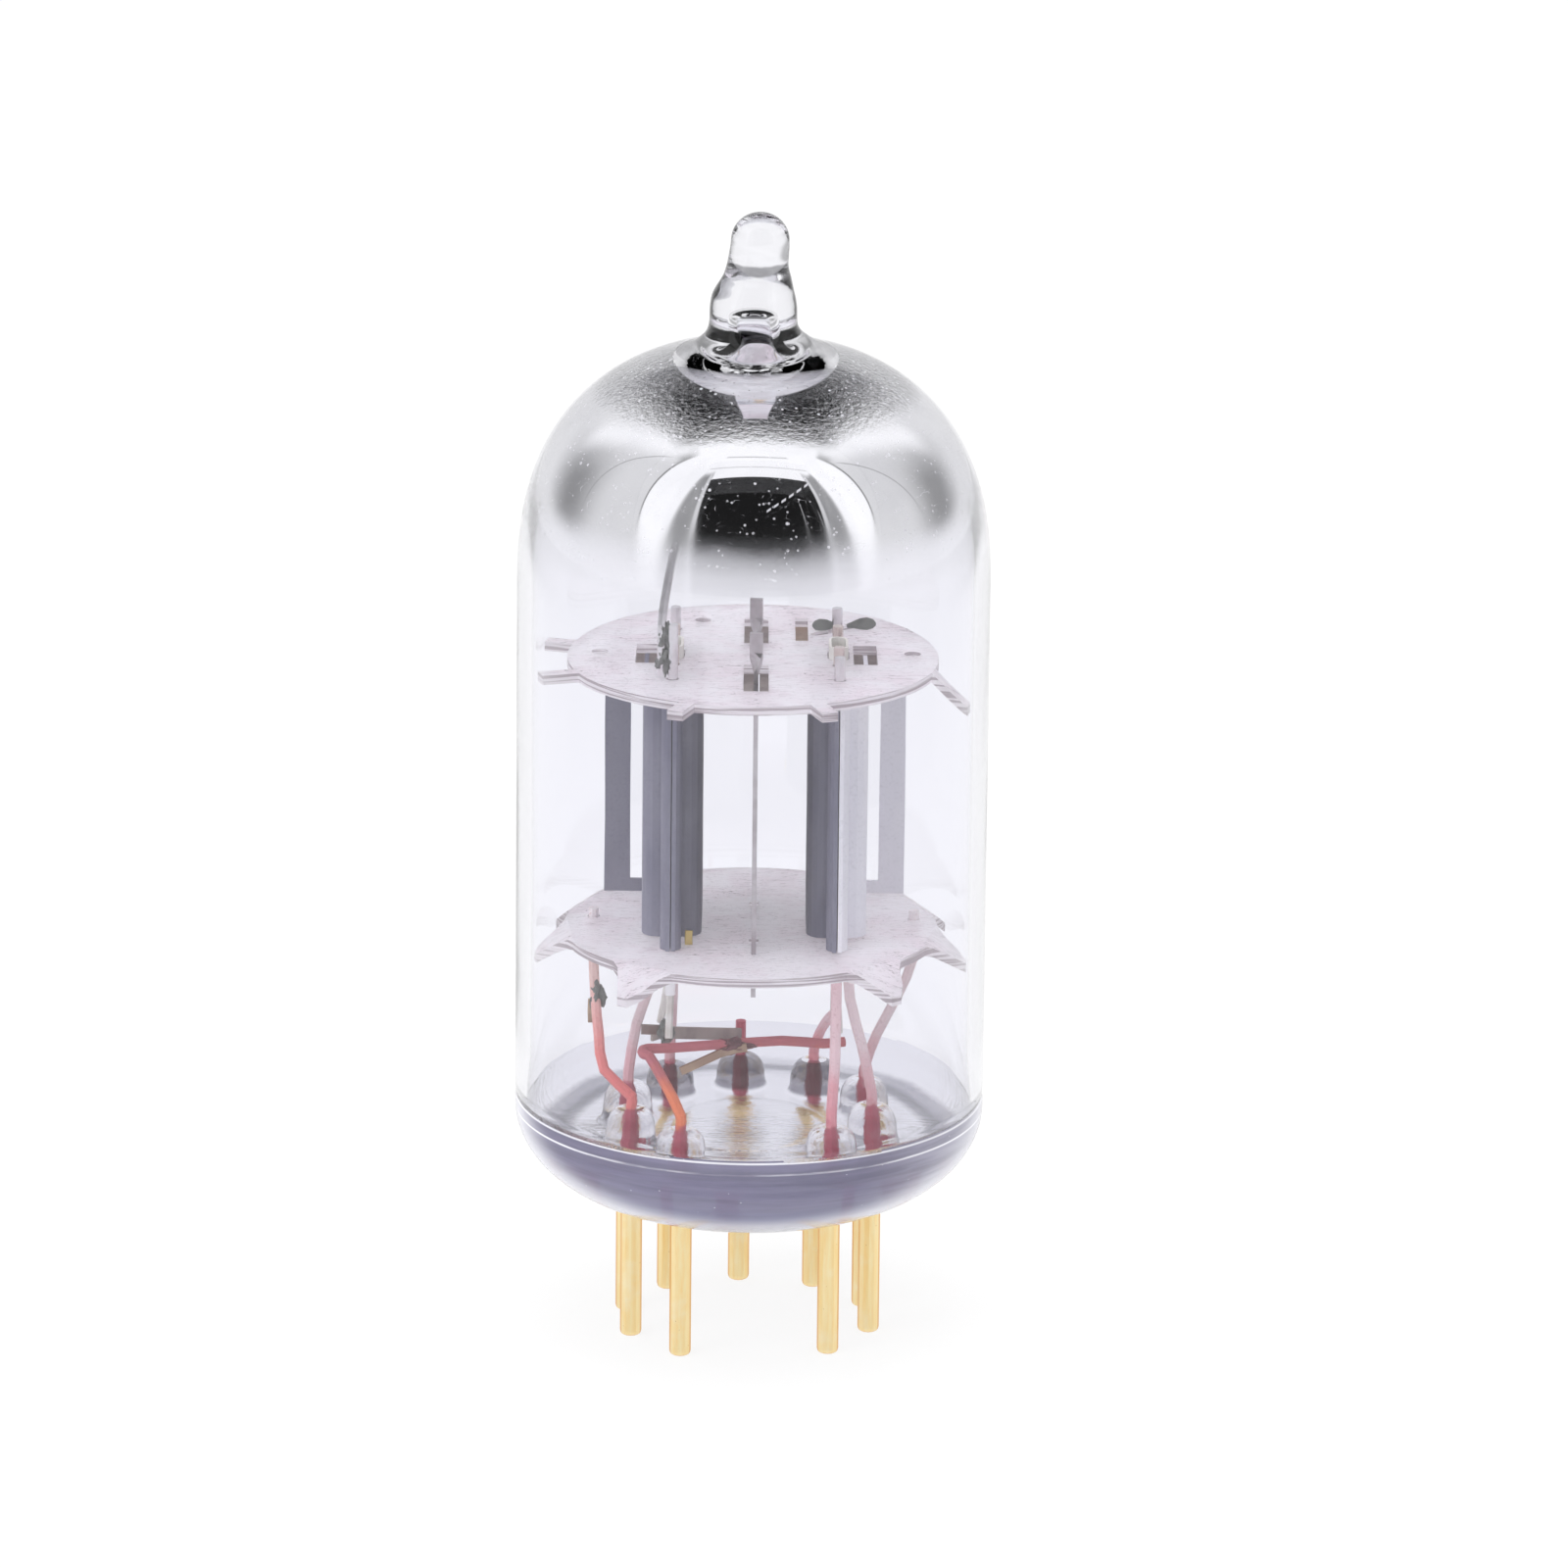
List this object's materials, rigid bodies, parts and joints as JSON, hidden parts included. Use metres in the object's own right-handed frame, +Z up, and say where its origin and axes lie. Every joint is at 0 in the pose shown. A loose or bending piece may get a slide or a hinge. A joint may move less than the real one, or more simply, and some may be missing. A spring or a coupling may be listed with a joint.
{
  "type": "vacuum tube",
  "caption": "Miniature glass double triode with a round dome, mirror film, pointed exhaust tip and stiff gold-plated base pins, standing on its pins.",
  "frame": {"origin": "on the tube's axis, at the level of the pin tips", "axes": "+Z up along the tube's axis towards the exhaust tip; -Y is the front, where the circle of pins has its gap; +X to the right"},
  "size_m": [0.0222, 0.0222, 0.0542],
  "materials": {
    "clear_glass": "clear blown glass with a mirror film inside the dome",
    "base_glass": "clear pressed glass that looks blue-grey",
    "gold_plate": "gold plated, satin",
    "copper_clad_lead": "copper clad wire with red seal sections",
    "copper": "bright copper",
    "nickel": "bright nickel",
    "carbonised_nickel": "dark grey carbonised sheet",
    "mica": "layered whitish mica",
    "oxide_coat": "white oxide coat on a nickel sleeve",
    "alumina_coat": "white alumina coat on tungsten wire"
  },
  "bodies": {
    "root": {"glass_envelope": "clear_glass", "glass_base": "base_glass", "base_pin_1": "gold_plate", "base_pin_2": "gold_plate", "base_pin_3": "gold_plate", "base_pin_4": "gold_plate", "base_pin_5": "gold_plate", "base_pin_6": "gold_plate", "base_pin_7": "gold_plate", "base_pin_8": "gold_plate", "base_pin_9": "gold_plate", "lead_wire_1": "copper_clad_lead", "lead_wire_2": "copper_clad_lead", "lead_wire_3": "copper_clad_lead", "lead_wire_4": "copper_clad_lead", "lead_wire_5": "copper_clad_lead", "lead_wire_6": "copper_clad_lead", "lead_wire_7": "copper_clad_lead", "lead_wire_8": "copper_clad_lead", "lead_wire_9": "copper_clad_lead", "upper_mica": "mica", "lower_mica": "mica", "left_anode_inner": "carbonised_nickel", "left_anode_outer": "carbonised_nickel", "right_anode_inner": "carbonised_nickel", "right_anode_outer": "carbonised_nickel", "left_anode_rod_front": "nickel", "left_anode_rod_rear": "nickel", "right_anode_rod_front": "nickel", "right_anode_rod_rear": "nickel", "left_grid_rod_front": "copper", "left_grid_rod_rear": "copper", "right_grid_rod_front": "copper", "right_grid_rod_rear": "copper", "left_grid_winding": "copper", "right_grid_winding": "copper", "left_cathode": "oxide_coat", "right_cathode": "oxide_coat", "left_heater": "alumina_coat", "right_heater": "alumina_coat", "left_cathode_link": "nickel", "right_cathode_link": "nickel", "left_heater_link": "nickel", "centre_shield": "nickel", "getter_ring": "nickel", "getter_support": "nickel"}
  },
  "joints": []
}
